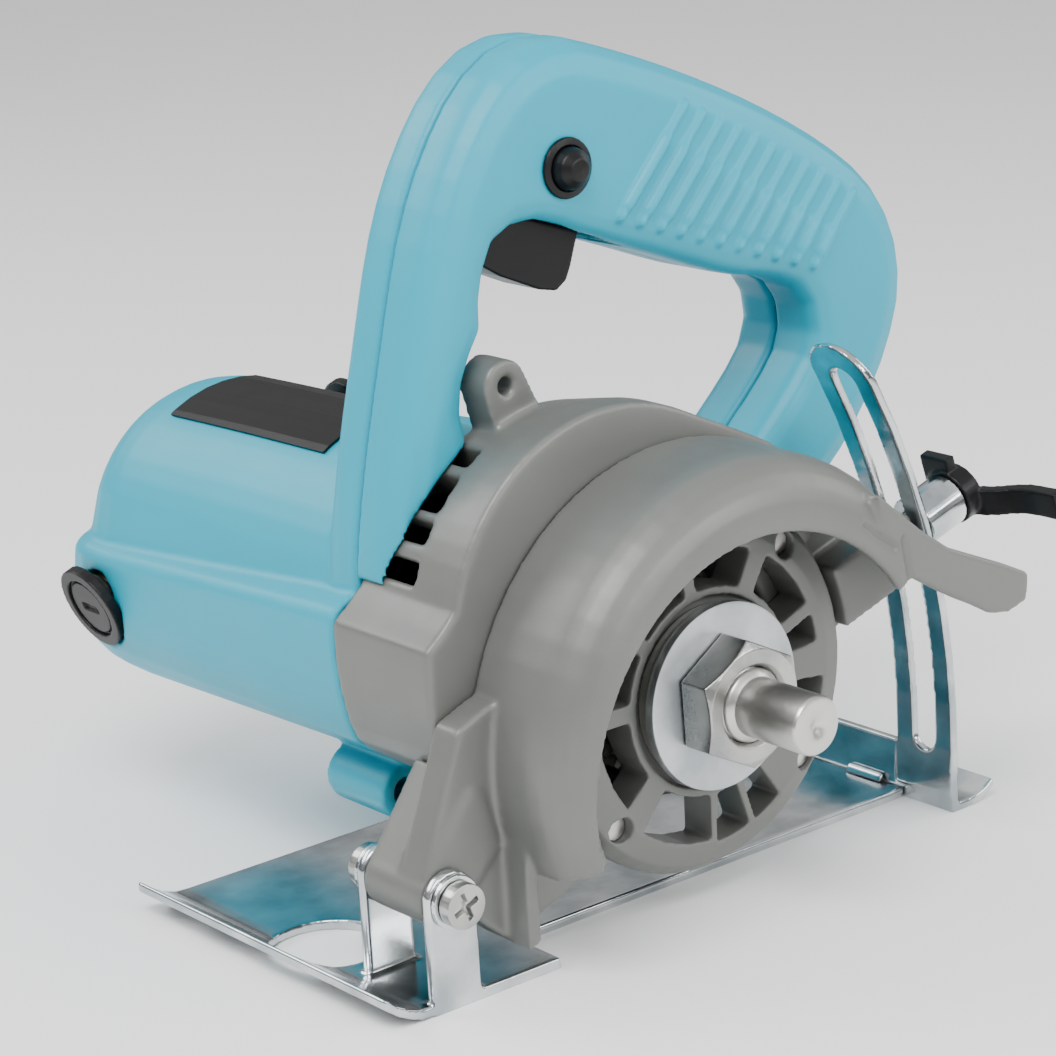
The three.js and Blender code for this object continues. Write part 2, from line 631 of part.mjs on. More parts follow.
guardScrews.forEach(([u, w], i) => {
  const seat = GUARD_BACK - GUARD_WALL - GAP;
  const shank = rod(2.1, seat - 1, HOUSING_FACE + 4.4, u, w, 12);
  add(tool, `guard_screw_${i + 1}`, steel, join(shank, rod(3.8, seat - 2.2, seat, u, w, 16)));
});

// ---------------------------------------------------------------- spindle
const spindleShaft = turned([
  [0, SHAFT_TIP], [SHAFT_RADIUS - 1, SHAFT_TIP], [SHAFT_RADIUS, SHAFT_TIP + 1], [SHAFT_RADIUS, NUT_FRONT - 0.5],
  [THREAD_RADIUS, NUT_FRONT + 1.2], [THREAD_RADIUS, -43.9], [7.4, -43.7], [7.4, -20.2], [5, -20], [5, -13.6], [0, -13.6],
], 28);
add(tool, 'spindle_shaft', steel, spindleShaft);

const hexagon = Array.from({ length: 6 }, (_, i) => {
  const a = rad(60 * i + 12);
  const r = NUT_FLATS / Math.sqrt(3);
  return [r * Math.cos(a), r * Math.sin(a)];
});
const nutChamfer = turned([
  [0, NUT_FRONT], [NUT_FLATS / 2 - 0.2, NUT_FRONT], [NUT_FLATS / 2 + 2.6, NUT_FRONT + 1.8],
  [NUT_FLATS / 2 + 2.6, WASHER_FRONT - GAP], [0, WASHER_FRONT - GAP],
], 36);
add(tool, 'spindle_nut', zinc, cut(
  plate(hexagon, NUT_FRONT, WASHER_FRONT - GAP).intersect(nutChamfer),
  rod(THREAD_RADIUS + GAP, -70, -40, 0, 0, 28),
  turned([[0, -61], [10.4, -61], [THREAD_RADIUS, -58.8], [0, -58.8]], 28),
));
add(tool, 'outer_flange', zinc, turned([
  [THREAD_RADIUS + GAP, WASHER_FRONT], [WASHER_RADIUS - 0.6, WASHER_FRONT], [WASHER_RADIUS, WASHER_FRONT + 0.6],
  [WASHER_RADIUS, WASHER_FRONT + WASHER_THICK], [THREAD_RADIUS + GAP, WASHER_FRONT + WASHER_THICK],
], 48));
add(tool, 'inner_flange', steel, turned([
  [THREAD_RADIUS + GAP, -47.4], [20.5, -47.4], [20.5, -44], [THREAD_RADIUS + GAP, -44],
], 40));

function ballBearing(name, { outer, inner, y0, y1 }, x, z) {
  const r = (outer + inner) / 2;
  const dip = 0.8;
  add(tool, name, steel, turned([
    [inner, y0], [r - 2, y0], [r - 2, y0 + dip], [r + 2, y0 + dip], [r + 2, y0], [outer, y0],
    [outer, y1], [r + 2, y1], [r + 2, y1 - dip], [r - 2, y1 - dip], [r - 2, y1], [inner, y1],
  ], 32, x, z));
}
ballBearing('spindle_bearing_front', FRONT_BEARING, 0, 0);
add(tool, 'spindle_bush_rear', brass, turned([[5.3, -18.3], [8, -18.3], [8, -13.8], [5.3, -13.8]], 24));

// Straight teeth with generous backlash, one tooth on +X when turned by 0.
function gearOutline(teeth, turn) {
  const pitch = (teeth * MODULE) / 2;
  const tip = pitch + TOOTH_TIP * MODULE;
  const root = pitch - 0.95 * MODULE;
  const points = [];
  for (let i = 0; i < teeth; i += 1) {
    const a = turn + (i * 2 * Math.PI) / teeth;
    const half = (0.72 * Math.PI * MODULE) / 2 / 2 / pitch;
    [[root, -half * 1.5], [tip, -half * 0.62], [tip, half * 0.62], [root, half * 1.5]].forEach(([r, d]) => {
      points.push([r * Math.cos(a + d), r * Math.sin(a + d)]);
    });
  }
  return points;
}
const meshing = rad(MOTOR_ANGLE);
add(tool, 'spindle_gear', steel, cut(
  plate(gearOutline(GEAR_TEETH, meshing), GEAR_FRONT, GEAR_REAR),
  rod(7.4 + GAP, -40, -10),
));

// ---------------------------------------------------------------- armature
const pinionTurn = meshing + Math.PI + Math.PI / PINION_TEETH;
const SHAFT_END = 119.4;
add(tool, 'armature_shaft', steel, join(
  turned([[0, -19], [6, -19], [6, 20], [5, 21], [5, SHAFT_END], [0, SHAFT_END]], 20, motorU, motorW),
  plate(gearOutline(PINION_TEETH, pinionTurn).map(([u, w]) => [u + motorU, w + motorW]), GEAR_FRONT - 1, -18.5),
));
add(tool, 'armature_bearing_front', steel, turned([[6.3, -16], [13, -16], [13, -9], [6.3, -9]], 28, motorU, motorW));
const fanBlades = Array.from({ length: 12 }, (_, i) => {
  const turn = new THREE.Matrix4().makeTranslation(motorU, 0, motorW)
    .multiply(new THREE.Matrix4().makeRotationY(i * (Math.PI / 6)));
  return box(18, 30.5, -12, -5, -1, 1).transform([...turn.elements]);
});
add(tool, 'cooling_fan', blackPlastic, join(
  turned([[6.4, -7.4], [10, -7.4], [10, -5.6], [31, -5.6], [31, -3], [6.4, -3]], 32, motorU, motorW),
  ...fanBlades,
));
const CORE = [22, 64];
const slots = Array.from({ length: 10 }, (_, i) => {
  const turn = new THREE.Matrix4().makeTranslation(motorU, 0, motorW)
    .multiply(new THREE.Matrix4().makeRotationY(i * (Math.PI / 5)));
  return box(12, 22, CORE[0] - 1, CORE[1] + 1, -1.4, 1.4).transform([...turn.elements]);
});
add(tool, 'armature_core', steel, cut(
  turned([[5.3, CORE[0]], [19, CORE[0]], [19, CORE[1]], [5.3, CORE[1]]], 30, motorU, motorW),
  ...slots,
));
add(tool, 'commutator', copper, turned([[5.3, 94], [11.5, 94], [11.5, 112], [5.3, 112]], 24, motorU, motorW));
add(tool, 'stator_core', steel, cut(
  turned([[19.8, CORE[0]], [34.8, CORE[0]], [34.8, CORE[1]], [19.8, CORE[1]]], 40, motorU, motorW),
  box(motorU - 24, motorU - 18, CORE[0] - 1, CORE[1] + 1, motorW - 9, motorW + 9),
  box(motorU + 18, motorU + 24, CORE[0] - 1, CORE[1] + 1, motorW - 9, motorW + 9),
));
add(tool, 'armature_bearing_rear', steel, turned([[5.3, 113], [9.5, 113], [9.5, 119.4], [5.3, 119.4]], 24, motorU, motorW));

// ---------------------------------------------------------------- handle outline
const LEG = [[-52, 48], [-46.8, 58.9], [-35.6, 77.4], [-22, 97.2], [-8.2, 116.4], [2, 127.4], [13.6, 136.4],
  [24, 141.8], [35, 143.8], [46, 141.2], [58, 132.4], [70, 122.2], [82, 111], [93, 99.8], [103, 88.4], [111.5, 77.4],
  [118, 67], [122, 56], [122.4, 44], [118.2, 31.4], [107.4, 19], [96, 10.8], [85, 4.8]];
const LOOP = [[-14, 66], [-15.5, 74], [-12.5, 83], [-7.2, 89], [-2.4, 91.8], [-0.4, 96.6], [3, 102.9],
  [11, 110], [21.6, 107.6], [33.4, 97], [51, 81.4], [68.6, 66], [80, 58.6], [86, 53], [88, 46], [86.4, 39.2],
  [82.4, 34.6], [76.8, 31.4], [68.6, 27.9], [59.9, 24.6], [46, 19.4]];

// Moves each point of a closed outline outwards (or inwards, for a negative amount).
function grown(points, amount) {
  const count = points.length;
  let area = 0;
  points.forEach(([x, z], i) => {
    const [x1, z1] = points[(i + 1) % count];
    area += x * z1 - x1 * z;
  });
  const side = Math.sign(area) * amount;
  return points.map(([x, z], i) => {
    const [px, pz] = points[(i + count - 1) % count];
    const [nx, nz] = points[(i + 1) % count];
    const before = Math.hypot(x - px, z - pz);
    const after = Math.hypot(nx - x, nz - z);
    const [ax, az] = [(z - pz) / before + (nz - z) / after, (px - x) / before + (x - nx) / after];
    const reach = Math.min(2, 2 / (ax * ax + az * az));
    return [x + side * reach * ax, z + side * reach * az];
  });
}

// A slab with rounded edges: the outline shrinks (or, for a cutter, grows) towards both faces.
function roundedSlab(points, half, radius, towards) {
  const turns = [90, 50, 20, 0];
  const layers = turns.map((a) => [half - radius + radius * Math.sin(rad(a)), radius * (1 - Math.cos(rad(a)))]);
  const all = [...layers.map(([y, move]) => [-y, move]), ...[...layers].reverse()];
  const rings = all.map(([y, move]) => ({ y, points: grown(points, towards * move) }));
  if (towards > 0) {
    rings.unshift({ y: -half - 1, points: rings[0].points });
    rings.push({ y: half + 1, points: rings[rings.length - 1].points });
  }
  return loft(rings);
}

function wholeHandle() {
  const outer = [...smooth(LEG, 40), [74, 0.8], [60, -5], [44, -6], [20, -2], [-20, 10]].reverse();
  const loop = [...smooth(LOOP, 32), [34, 17], [26, 20], [20, 34], [10, 48], [0, 58]].reverse();
  return cut(
    roundedSlab(outer, HANDLE_HALF, HANDLE_ROUND, -1),
    roundedSlab(loop, HANDLE_HALF, HANDLE_ROUND - 2.5, 1),
  );
}

const GRIP = rad(-40); // slope of the grip from front to rear
const gripTurn = new THREE.Matrix4().makeTranslation(22, 0, 104).multiply(new THREE.Matrix4().makeRotationY(-GRIP));
const onGrip = (body) => body.transform([...gripTurn.elements]);
const switchRoom = onGrip(box(-14, 26, -11, 11, 2, 26));
const triggerSlot = onGrip(box(-13.4, 16.4, -7.4, 7.4, -14, 4));
const LOCK = [32.8, 115.6];
const legRoom = plate([[-34, 72], [-4, 114], [4, 110], [-8, 96], [-16, 92], [-24, 72]], -10, 10);
const tailRoom = plate([
  [60, 112], [70, 112], [96, 86], [111, 66], [115.5, 54], [113.5, 40], [106, 27], [97, 20], [90, 25], [93, 34],
  [94, 46], [90, 57], [76, 69], [60, 84], [52, 92],
], -10, 10);
const handleSolid = cut(wholeHandle(), switchRoom, triggerSlot, legRoom, tailRoom);

// ---------------------------------------------------------------- motor housing, with the far half of the handle
function motorSkin(y0, y1, grow = 0) {
  const rings = [[y0, 0], [30, 0], [64, 0], [74, 0], [84, 0], [94, 0], [y1 - 18, 0], [y1 - 11, 1.2], [y1 - 6, 3.4],
    [y1 - 2.5, 6.4], [y1 - 0.6, 9.6], [y1, 12]];
  return loft(rings.map(([y, less]) => ({ y, points: endRing(less, y, grow) })));
}

// The end of the barrel is rounded more at the top and bottom than at the sides.
function endRing(less, y, grow) {
  return motorRing(-grow, y).map(([u, w]) => {
    const [x, z] = [u - motorU, w - motorW];
    const side = Math.min(1, Math.max(0, (Math.abs(x) - 30) / 12));
    const share = 1 - (less * (1 - 0.45 * side)) / Math.hypot(x, z);
    return [motorU + x * share, motorW + z * share];
  });
}

const brushW = motorW + BRUSH_RISE;
function socket(side, radius, r0, r1) {
  const [a, b] = side < 0 ? [motorU - r1, motorU - r0] : [motorU + r0, motorU + r1];
  return rodX(radius, a, b, BRUSH_Y, brushW, 32);
}

function motorRoom() {
  const room = join(
    loft([motorStart - 1, 30, 64, 74, 84, 94, 102].map((y) => ({ y, points: motorRing(MOTOR_WALL, y) }))),
    loft([[101, 3], [110.5, 7]].map(([y, less]) => ({ y, points: motorRing(less, y) }))),
    rod(14, 105, 112.5, motorU, motorW),
  );
  return cut(room, socket(-1, CAP_RADIUS + 2.4, BULGE_HALF - 7, 60), socket(1, CAP_RADIUS + 2.4, BULGE_HALF - 7, 60));
}

const motorStart = HOUSING_REAR + GAP;
const brushTunnel = (side) => join(
  socket(side, 7.5, 20, BULGE_HALF + 2),
  socket(side, CAP_RADIUS + GAP, BULGE_HALF - 2.6, BULGE_HALF + 9),
);

function motorHousing() {
  const barrel = motorSkin(motorStart, MOTOR_END);
  const farHalf = handleSolid.intersect(box(-200, 200, GAP / 2, 60, -200, 200));
  const cornerBoss = rod(7, 1.5, 24, -57.5, -1.5, 24);
  const clearOfGears = housingSkin(GAP);
  const outside = join(barrel, cut(farHalf, clearOfGears), cornerBoss);
  const inside = motorRoom();
  const bearingSeat = rod(9.8, 112, 119.8, motorU, motorW);
  const airSlots = Array.from({ length: 8 }, (_, i) => {
    const turn = new THREE.Matrix4().makeTranslation(motorU, 0, motorW)
      .multiply(new THREE.Matrix4().makeRotationY(i * (Math.PI / 4) + Math.PI / 8));
    return box(16, 30, 110, 130, -2.2, 2.2).transform([...turn.elements]);
  });
  return cut(outside, inside, bearingSeat, brushTunnel(-1), brushTunnel(1), ...airSlots,
    rod(3.4, -2, 20, -57.5, -1.5, 16));
}
const inletSpot = onCordInlet(rodX(5.3, -14, 20, 0, 0, 20));
add(tool, 'motor_housing', turquoise, cut(motorHousing(), inletSpot));

// ---------------------------------------------------------------- handle cover, the near half of the handle
function onCordInlet(body) {
  const frame = new THREE.Matrix4().makeTranslation(102, 6, 14.5).multiply(new THREE.Matrix4().makeRotationY(rad(56)));
  return body.transform([...frame.elements]);
}

const LOCK_RADIUS = 5;
function handleCover() {
  const near = handleSolid.intersect(box(-200, 200, -60, -GAP / 2, -200, 200));
  const ribs = Array.from({ length: 11 }, (_, i) => {
    const t = i / 10;
    const [u0, w0] = [42.4 + (91.8 - 42.4) * t, 97.3 + (55.6 - 97.3) * t];
    const [u1, w1] = [70.5 + (106.5 - 70.5) * t, 110.4 + (67 - 110.4) * t];
    const length = Math.hypot(u1 - u0, w1 - w0) - 9;
    const frame = new THREE.Matrix4().makeTranslation(u0, 0, w0)
      .multiply(new THREE.Matrix4().makeRotationY(-Math.atan2(w1 - w0, u1 - u0)));
    return box(3, length, -HANDLE_HALF - 0.9, -HANDLE_HALF + 2, -1, 1).transform([...frame.elements]);
  });
  const trimmed = cut(
    near,
    housingSkin(GAP + 0.1),
    motorSkin(motorStart - GAP, MOTOR_END, GAP / 2),
    box(LUG[0] - 10.5, LUG[0] + 10.5, -18.4, -7.6, 52, LUG[1]),
  );
  return cut(join(trimmed, ...ribs), rod(LOCK_RADIUS + GAP, -20, -5, LOCK[0], LOCK[1], 24));
}
const coverPieces = handleCover().decompose().sort((a, b) => b.volume() - a.volume());
add(tool, 'handle_cover', turquoise, coverPieces[0]);

// ---------------------------------------------------------------- switch, trigger and lock button
add(tool, 'switch_body', blackPlastic, onGrip(box(-8, 20, -9, 9, 9, 24)));
const triggerSide = [[-12.8, -7], [-10.5, -9.6], [-4, -11], [8, -12], [13, -11.4], [15.2, -8.6], [15.6, -5],
  [15.6, 3.4], [-12.8, 3.4]];
add(tool, 'trigger', blackPlastic, onGrip(plate(triggerSide, -6.8, 6.8)));
add(tool, 'lock_button', blackPlastic, turned([
  [0, -HANDLE_HALF - 5.5], [2.6, -HANDLE_HALF - 5.2], [LOCK_RADIUS - 0.6, -HANDLE_HALF - 3.8],
  [LOCK_RADIUS, -HANDLE_HALF - 2], [LOCK_RADIUS, -12.6], [0, -12.6],
], 24, ...LOCK));
add(tool, 'lock_bezel', blackPlastic, turned([
  [LOCK_RADIUS + GAP, -HANDLE_HALF - 1.4], [6.9, -HANDLE_HALF - 1], [7.1, -HANDLE_HALF - GAP],
  [LOCK_RADIUS + GAP, -HANDLE_HALF - GAP],
], 28, ...LOCK));
add(tool, 'cord_inlet', blackPlastic, cut(
  onCordInlet(join(rodX(5, -7, 2, 0, 0, 20), rodX(6.6, 1.2, 3.4, 0, 0, 20), rodX(4.6, 3, 9, 0, 0, 20))),
  onCordInlet(rodX(3.4, -12, 12, 0, 0, 16)),
));

// ---------------------------------------------------------------- rating label, on the barrel's top
const labelBand = cut(
  motorSkin(motorStart, MOTOR_END, GAP + 0.5).intersect(box(-200, 200, 32, 98, -200, 200)),
  motorSkin(motorStart, MOTOR_END, GAP),
);
const labelSector = plate([
  [motorU, motorW], ...[100, 80, 60].map((a) => [motorU + 90 * Math.cos(rad(a)), motorW + 90 * Math.sin(rad(a))]),
], 30, 100);
add(tool, 'rating_label', labelBlack, labelBand.intersect(labelSector));

// ---------------------------------------------------------------- brushes
[['front', -1], ['rear', 1]].forEach(([name, side]) => {
  const along = (r0, r1) => (side < 0 ? [motorU - r1, motorU - r0] : [motorU + r0, motorU + r1]);
  const bar = (r0, r1, half) => {
    const [a, b] = along(r0, r1);
    return box(a, b, BRUSH_Y - half, BRUSH_Y + half, brushW - half, brushW + half);
  };
  const disc = (r, r0, r1, sides = 32) => rodX(r, ...along(r0, r1), BRUSH_Y, brushW, sides);
  const cap = cut(
    join(disc(CAP_RADIUS, BULGE_HALF - 2.2, BULGE_HALF + 0.6), disc(7.1, BULGE_HALF - 5, BULGE_HALF - 1, 24)),
    disc(8.2, BULGE_HALF - 0.6, BULGE_HALF + 4),
  );
  const [s0, s1] = along(BULGE_HALF - 0.9, BULGE_HALF + 2.2);
  const bridge = cut(
    disc(7.4, BULGE_HALF - 1.4, BULGE_HALF + 0.2),
    box(s0, s1, BRUSH_Y - 3.4, BRUSH_Y + 3.4, brushW - 1, brushW + 1),
  );
  add(tool, `brush_cap_${name}`, blackPlastic, join(cap, bridge));
  add(tool, `brush_holder_${name}`, brass, cut(bar(17, 40, 4.4), bar(16, 41, 3.4)));
  add(tool, `carbon_brush_${name}`, carbon, bar(11.9, 30, 3.1));
});

// ---------------------------------------------------------------- pivot screws and clamp
function pivotScrew(name, side, face) {
  const out = (a, b) => (side < 0 ? [face - b, face - a] : [face + a, face + b]);
  add(tool, `${name}_washer`, zinc, cut(
    rod(6.2, ...out(GAP, 1.5), HINGE_U, HINGE_W, 28),
    rod(PIVOT_RADIUS + GAP, -80, 0, HINGE_U, HINGE_W, 16),
  ));
  const [h0, h1] = out(1.8, 5);
  const slotDepth = side < 0 ? [h0 - 1, h0 + 1.8] : [h1 - 1.8, h1 + 1];
  add(tool, name, zinc, cut(
    join(
      rod(5.2, h0, h1, HINGE_U, HINGE_W, 24),
      rod(PIVOT_RADIUS - GAP, ...out(-8.5, 2), HINGE_U, HINGE_W, 16),
    ),
    box(HINGE_U - 3.4, HINGE_U + 3.4, ...slotDepth, HINGE_W - 0.7, HINGE_W + 0.7),
    box(HINGE_U - 0.7, HINGE_U + 0.7, ...slotDepth, HINGE_W - 3.4, HINGE_W + 3.4),
  ));
}
pivotScrew('pivot_screw_near', -1, PLATE_NEAR);
pivotScrew('pivot_screw_far', 1, EAR_FAR + SHEET);

const collarStart = strapBack + 2.6;
const collarEnd = collarStart + 12.4;
add(tool, 'clamp_stud', zinc, onStud(rodX(3.4, 134, collarEnd + 7, STRAP_MID, 0, 20)));
add(tool, 'clamp_collar', zinc, onStud(cut(
  rodX(6.7, collarStart, collarEnd, STRAP_MID, 0, 28),
  rodX(3.7, collarStart - 1, collarEnd + 1, STRAP_MID, 0, 20),
)));

function clampLever() {
  const hub = rodX(7.2, collarEnd + GAP, collarEnd + 5.6, STRAP_MID, 0, 28);
  const tab = box(collarEnd + 1, collarEnd + 4, STRAP_MID - 2, STRAP_MID + 7, 2, 10.5);
  const arm = smooth([[STRAP_MID - 1, collarEnd + 3], [STRAP_MID - 9, collarEnd + 5], [STRAP_MID - 16, collarEnd + 8.5],
    [STRAP_MID - 27, collarEnd + 9.5]], 8);
  const back = [...arm].reverse().map(([y, x], i) => [y, x + 3.4 - i * 0.05]);
  const shape = outline([...arm, ...back].map(([y, x]) => [x, -y]));
  const geometry = new THREE.ExtrudeGeometry(shape, { depth: 7, bevelEnabled: false });
  const bar = solid(geometry.translate(0, 0, -6));
  const flipped = bar.scale([1, -1, 1]);
  return cut(join(hub, tab, flipped), rodX(3.7, collarEnd - 1, collarEnd + 20, STRAP_MID, 0, 20));
}
add(tool, 'clamp_lever', blackPlastic, onStud(clampLever()));

// ---------------------------------------------------------------- handle screws, in from the far side
[[-25, 76], [100, 74], [82, 16]].forEach(([u, w], i) => {
  add(tool, `handle_screw_${i + 1}`, steel, join(
    rod(3.4, HANDLE_HALF + GAP, HANDLE_HALF + 2.2, u, w, 16),
  ));
});

export default group;
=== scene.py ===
# A hand-held tile and stone cutter without its blade: a turquoise moulded motor body with a loop handle,
# grey castings round the gears and the blade, and a zinc-plated sole plate with a slotted depth strap.
import json
import math

import bmesh
import bpy
import numpy as np
from mathutils import Matrix, Vector


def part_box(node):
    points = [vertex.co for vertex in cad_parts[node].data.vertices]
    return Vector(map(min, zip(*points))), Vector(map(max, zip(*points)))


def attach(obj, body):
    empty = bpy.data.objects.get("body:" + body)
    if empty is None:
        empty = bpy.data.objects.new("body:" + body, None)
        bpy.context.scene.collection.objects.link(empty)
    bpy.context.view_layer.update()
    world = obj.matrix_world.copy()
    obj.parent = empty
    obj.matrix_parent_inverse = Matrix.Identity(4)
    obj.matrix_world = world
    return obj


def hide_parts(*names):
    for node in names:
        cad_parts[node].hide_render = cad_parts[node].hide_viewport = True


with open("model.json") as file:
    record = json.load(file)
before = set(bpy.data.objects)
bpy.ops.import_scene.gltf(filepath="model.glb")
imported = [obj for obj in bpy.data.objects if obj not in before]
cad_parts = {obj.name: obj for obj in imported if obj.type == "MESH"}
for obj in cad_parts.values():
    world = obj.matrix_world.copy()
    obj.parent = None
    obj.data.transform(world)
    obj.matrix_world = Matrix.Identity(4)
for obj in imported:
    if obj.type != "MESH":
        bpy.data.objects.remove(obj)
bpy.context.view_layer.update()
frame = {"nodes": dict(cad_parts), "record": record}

# ---------------------------------------------------------------- floor
# A wide matt floor in one pale grey, so large that its edge never shows, lies level with the underside of
# the sole plate.
FLOOR_REACH = 12
FLOOR_GREY = 0.95
corners = [(-1, -1), (1, -1), (1, 1), (-1, 1)]
floor_mesh = bpy.data.meshes.new("floor")
floor_mesh.from_pydata([(x * FLOOR_REACH, y * FLOOR_REACH, 0) for x, y in corners], [], [(0, 1, 2, 3)])
floor = bpy.data.objects.new("floor", floor_mesh)
bpy.context.collection.objects.link(floor)
floor_paint = bpy.data.materials.new("pale_floor")
floor_paint.use_nodes = True
floor_shader = floor_paint.node_tree.nodes["Principled BSDF"]
floor_shader.inputs["Base Color"].default_value = (FLOOR_GREY, FLOOR_GREY, FLOOR_GREY, 1)
floor_shader.inputs["Roughness"].default_value = 0.7
floor_mesh.materials.append(floor_paint)

# ---------------------------------------------------------------- studio
# The walls are bright overhead and dark towards the horizon, so that bare metal shows both. A wide key light
# hangs over the hinge end, a long strip on the blade side draws the highlights on the castings and the
# shaft, a weak fill stands off the other end, and a broad light behind the motor edges the handle.
WALL_LOW, WALL_HIGH = 0.12, 0.75
WALL_DARK, WALL_BRIGHT = 0.16, 0.95
world = bpy.data.worlds.new("studio")
world.use_nodes = True
walls = world.node_tree
direction = walls.nodes.new("ShaderNodeTexCoord")
parts = walls.nodes.new("ShaderNodeSeparateXYZ")
height = walls.nodes.new("ShaderNodeMapRange")
height.inputs["From Min"].default_value = WALL_LOW
height.inputs["From Max"].default_value = WALL_HIGH
height.inputs["To Min"].default_value = WALL_DARK
height.inputs["To Max"].default_value = WALL_BRIGHT
walls.links.new(direction.outputs["Generated"], parts.inputs[0])
walls.links.new(parts.outputs["Z"], height.inputs["Value"])
walls.links.new(height.outputs["Result"], walls.nodes["Background"].inputs["Strength"])
walls.nodes["Background"].inputs["Color"].default_value = (1, 1, 1, 1)
bpy.context.scene.world = world


def softbox(name, place, aim, width, height, power):
    """A rectangular lamp at a place, turned to face a point; sizes in metres, power in watts."""
    light = bpy.data.lights.new(name, "AREA")
    light.shape = "RECTANGLE"
    light.size, light.size_y, light.energy = width, height, power
    lamp = bpy.data.objects.new(name, light)
    lamp.location = place
    lamp.rotation_euler = (Vector(aim) - Vector(place)).to_track_quat("-Z", "Y").to_euler()
    bpy.context.collection.objects.link(lamp)


softbox("key", (-0.55, -0.35, 0.95), (0, 0, 0.09), 0.6, 0.45, 12)
softbox("strip", (0.25, -0.9, 0.5), (0, -0.04, 0.06), 0.9, 0.16, 6)
softbox("fill", (0.95, -0.3, 0.45), (0, 0, 0.08), 0.5, 0.5, 3)
softbox("back", (-0.5, 0.9, 0.75), (0, 0, 0.08), 0.9, 0.4, 7)

# ---------------------------------------------------------------- camera
# A long lens a little over 0.8 m away, on the blade side and towards the hinge, looking slightly down.
CAMERA_PLACE = (-0.47819, -0.5777, 0.30302)
CAMERA_RIGHT = Vector((0.768794, -0.637294, -0.053032))
CAMERA_UP = Vector((0.219253, 0.184773, 0.958012))
CAMERA_AHEAD = Vector((0.600736, 0.748141, -0.281777))
CAMERA_LENS, CAMERA_SENSOR = 112.4, 36
camera_data = bpy.data.cameras.new("camera")
camera_data.lens = CAMERA_LENS
camera_data.sensor_width = CAMERA_SENSOR
camera_data.clip_start = 0.01
camera = bpy.data.objects.new("camera", camera_data)
bpy.context.collection.objects.link(camera)
camera.matrix_world = Matrix.Translation(CAMERA_PLACE) @ Matrix(
    (CAMERA_RIGHT, CAMERA_UP, -CAMERA_AHEAD)
).transposed().to_4x4()
bpy.context.scene.camera = camera

# ---------------------------------------------------------------- turquoise mouldings
# The motor housing with the far half of the loop handle, and the near half that closes it. Both are
# injection-moulded plastic with a fine spark-eroded texture, screwed together along the handle's middle.
MM = 0.001

# The tool's own frame: its spindle is the origin, and it leans back by the rest tilt. Places on the
# tool are given in millimetres along the body (u), along the spindle (y) and up (w).
TILT = math.radians(20.5)
shaft_low, shaft_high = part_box("spindle_shaft")
spindle_x = (shaft_low.x + shaft_high.x) / 2
spindle_z = (shaft_low.z + shaft_high.z) / 2
TOOL = Matrix.Translation((spindle_x, 0, spindle_z)) @ Matrix.Rotation(-TILT, 4, "Y") @ Matrix.Scale(MM, 4)


class Wire:
    """One output of a paint's node tree; wires add and multiply like numbers."""

    def __init__(self, paint, socket):
        self.paint, self.socket = paint, socket

    def _math(self, operation, *values):
        return self.paint.node("ShaderNodeMath", {"operation": operation}, *values)

    def __add__(self, other):
        return self._math("ADD", self, other)

    def __radd__(self, other):
        return self._math("ADD", other, self)

    def __mul__(self, other):
        return self._math("MULTIPLY", self, other)


class Paint:
    """One material: its node tree, its Principled shader, and the coordinates of the surface in metres."""

    MIX_FIRST, MIX_SECOND, MIX_RESULT = 6, 7, 2  # the colour sockets of a mix node, by their places

    def __init__(self, name, **numbers):
        self.material = bpy.data.materials.new(name)
        self.material.use_nodes = True
        self.tree = self.material.node_tree
        self.shader = self.tree.nodes["Principled BSDF"]
        self.set(**numbers)
        self.place = self.node("ShaderNodeTexCoord", {}, output="Object")

    def fill(self, socket, value):
        if isinstance(value, Wire):
            self.tree.links.new(value.socket, socket)
        elif isinstance(value, tuple) and len(value) == 3 and socket.type == "RGBA":
            socket.default_value = (*value, 1)
        else:
            socket.default_value = value

    def node(self, kind, settings, *values, output=0, **named):
        made = self.tree.nodes.new(kind)
        for key, value in settings.items():
            setattr(made, key, value)
        for socket, value in zip(made.inputs, values):
            self.fill(socket, value)
        for key, value in named.items():
            self.fill(made.inputs[key.replace("_", " ")], value)
        return Wire(self, made.outputs[output])

    def set(self, **inputs):
        for key, value in inputs.items():
            self.fill(self.shader.inputs[key.replace("_", " ")], value)
        return self

    def noise(self, per_metre, detail, stretch=(1, 1, 1)):
        place = self.node("ShaderNodeMapping", {}, Vector=self.place, Scale=stretch)
        values = {"Vector": place, "Scale": per_metre, "Detail": detail}
        return self.node("ShaderNodeTexNoise", {}, output="Fac", **values)

    def ramp(self, value, low, high):
        return self.node("ShaderNodeMapRange", {}, output="Result", Value=value, From_Min=low, From_Max=high)

    def mix(self, share, first, second):
        made = self.tree.nodes.new("ShaderNodeMix")
        made.data_type = "RGBA"
        self.fill(made.inputs["Factor"], share)
        self.fill(made.inputs[self.MIX_FIRST], first)
        self.fill(made.inputs[self.MIX_SECOND], second)
        return Wire(self, made.outputs[self.MIX_RESULT])

    def bump(self, height, distance, strength):
        settings = {"Height": height, "Distance": distance, "Strength": strength}
        return self.set(Normal=self.node("ShaderNodeBump", {}, output="Normal", **settings))


TURQUOISE = (0.0, 0.34, 0.47)


def turquoise_plastic():
    paint = Paint("turquoise_plastic", Roughness=0.42, Specular_IOR_Level=0.45)
    cloud = paint.noise(28, 3)
    shaded = (TURQUOISE[0] * 0.9, TURQUOISE[1] * 0.97, TURQUOISE[2] * 0.97)
    tint = paint.mix(paint.ramp(cloud, 0.3, 0.7), shaded, TURQUOISE)
    paint.set(Base_Color=tint, Roughness=0.38 + paint.noise(60, 3) * 0.12)
    grain = paint.noise(2600, 2)
    return paint.bump(grain, 0.00006, 0.35).material


